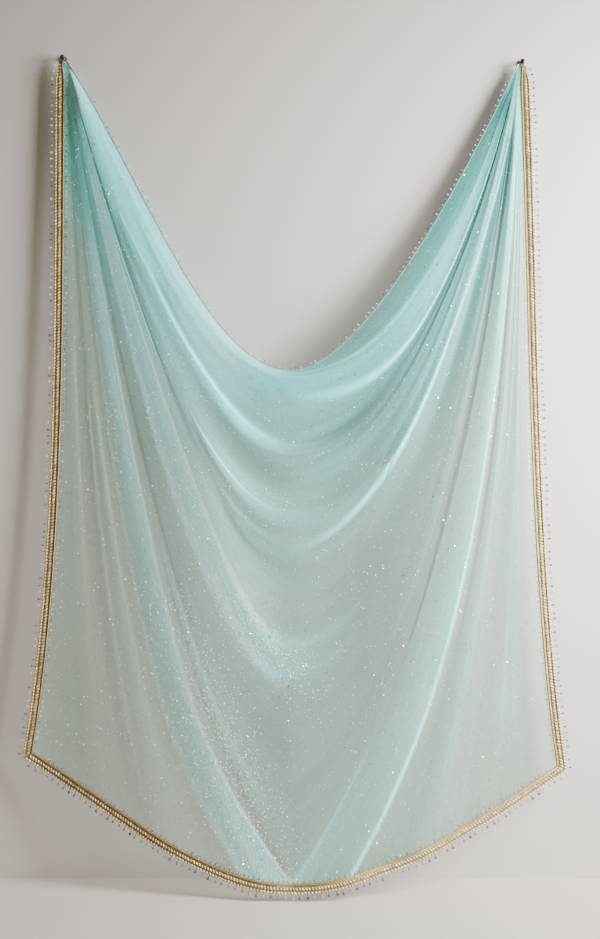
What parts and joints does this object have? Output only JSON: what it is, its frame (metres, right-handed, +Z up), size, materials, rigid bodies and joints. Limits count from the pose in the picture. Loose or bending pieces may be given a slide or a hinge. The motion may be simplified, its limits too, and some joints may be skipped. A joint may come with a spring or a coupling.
{
  "type": "dupatta stole on wall hooks",
  "caption": "Sheer aqua glitter-net dupatta stole with gold gota lace, hung by its upper corners from two wall hooks.",
  "frame": {"origin": "centre of the left hook's wall plate, on the wall, where the part is held", "axes": "+X to the right along the wall, +Y into the wall (the cloth hangs on the -Y side), +Z up"},
  "size_m": [1.1465, 0.1702, 1.7217],
  "materials": {
    "net": "sheer glitter net",
    "edging": "fine matt cord",
    "gota": "metallic woven lace",
    "hook": "dark bronze, satin"
  },
  "bodies": {
    "root": {"net_panel": "net", "picot_top": "edging", "gota_left": "gota", "gota_right": "gota", "gota_hem": "gota", "picot_left": "gota", "picot_right": "gota", "picot_hem": "gota", "loop_left": "gota", "loop_right": "gota", "hook_left": "hook", "hook_right": "hook"}
  },
  "joints": []
}
